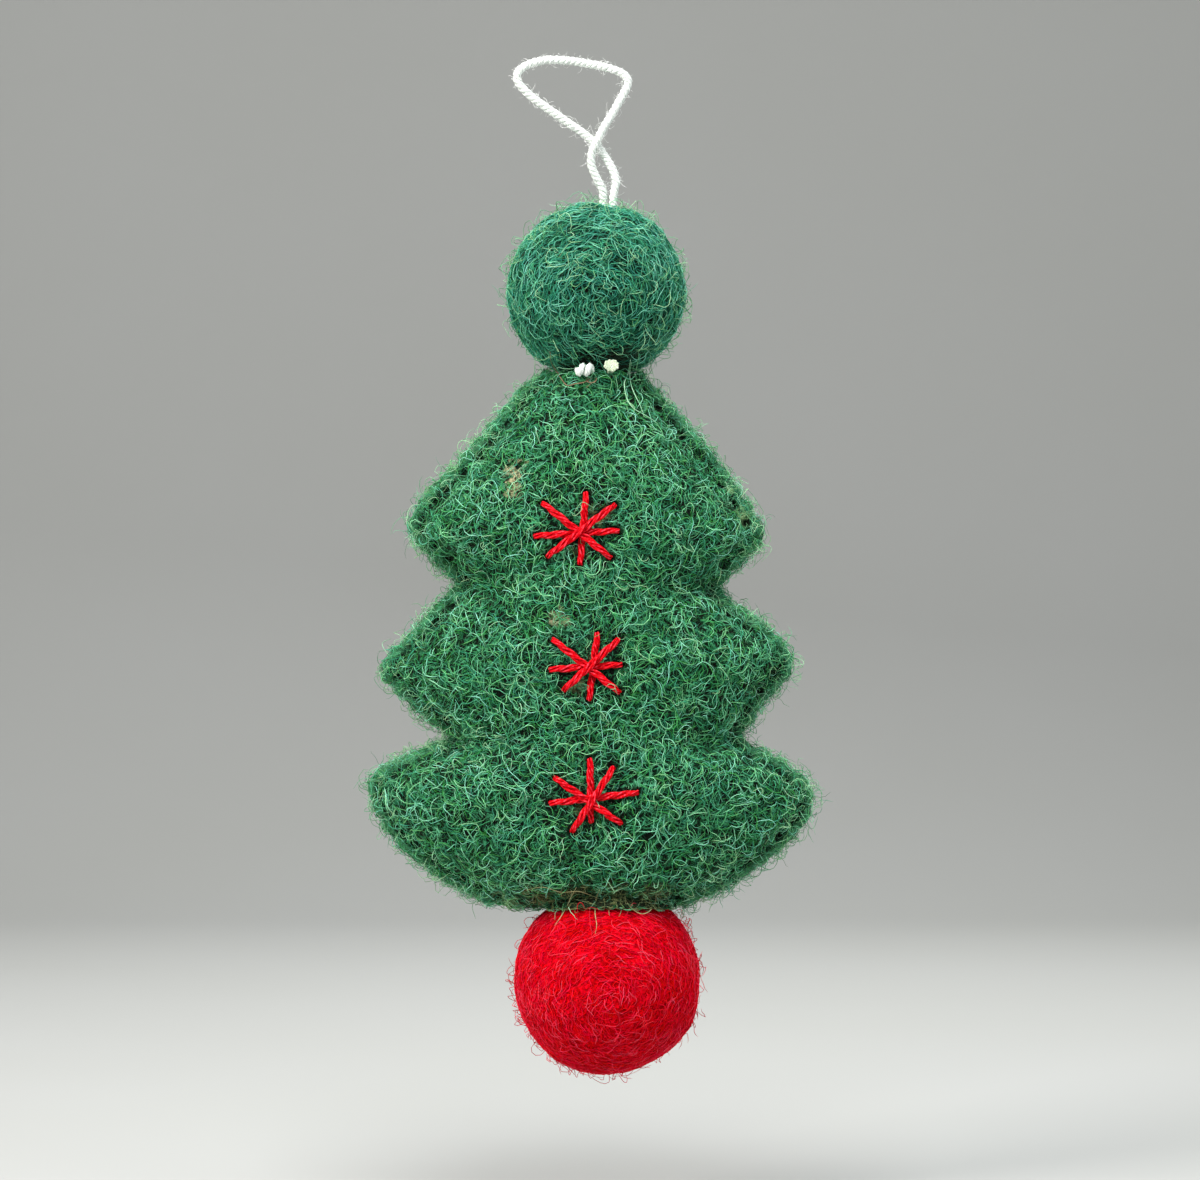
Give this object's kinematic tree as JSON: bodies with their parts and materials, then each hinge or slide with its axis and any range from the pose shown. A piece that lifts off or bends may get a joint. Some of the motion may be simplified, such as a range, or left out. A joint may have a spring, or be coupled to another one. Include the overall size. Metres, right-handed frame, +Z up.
{
  "type": "felt christmas tree ornament",
  "caption": "Stuffed three-tier tree of wool felt with embroidered stars, hung by a cord loop through a felt ball, with a felt ball sewn under it.",
  "frame": {"origin": "where the cord loop hangs on its hook: the underside of the cord at the top of the loop, straight above the middle of the tree", "axes": "+Z up along the hanging ornament, the front with the stars faces -Y, +X to the right as seen from the front"},
  "size_m": [0.0606, 0.0263, 0.1372],
  "materials": {
    "cotton_cord": "twisted white cotton",
    "green_ball_felt": "wet-felted wool",
    "green_panel_felt": "hairy wool felt",
    "red_ball_felt": "wet-felted wool",
    "red_floss": "stranded cotton floss",
    "green_thread": "sewing thread",
    "red_thread": "sewing thread",
    "fibre_filling": "loose polyester fibre"
  },
  "bodies": {
    "hanging_loop": {"hanging_cord": "cotton_cord"},
    "upper_ball": {"top_ball": "green_ball_felt", "cord_run_left": "cotton_cord", "cord_run_right": "cotton_cord"},
    "tree": {"neck_knot": "cotton_cord", "cord_tail_end": "cotton_cord", "front_panel": "green_panel_felt", "back_panel": "green_panel_felt", "fibre_filling": "fibre_filling", "seam_thread_left": "green_thread", "seam_thread_right": "green_thread", "top_star_upright_stitch": "red_floss", "top_star_level_stitch": "red_floss", "top_star_falling_stitch": "red_floss", "top_star_rising_stitch": "red_floss", "middle_star_upright_stitch": "red_floss", "middle_star_level_stitch": "red_floss", "middle_star_falling_stitch": "red_floss", "middle_star_rising_stitch": "red_floss", "bottom_star_upright_stitch": "red_floss", "bottom_star_level_stitch": "red_floss", "bottom_star_falling_stitch": "red_floss", "bottom_star_rising_stitch": "red_floss", "bottom_ball": "red_ball_felt", "base_thread": "red_thread"}
  },
  "joints": [
    {"name": "swing", "type": "hinge", "parent": "hanging_loop", "child": "upper_ball", "pos_m": [0.00165, 0, -0.01736], "axis": [1, 0, 0], "range_deg": [-75, 75]},
    {"name": "tree_turn", "type": "hinge", "parent": "upper_ball", "child": "tree", "pos_m": [0, 0, -0.03], "axis": [0, 0, 1], "range_deg": [-90, 90]}
  ]
}
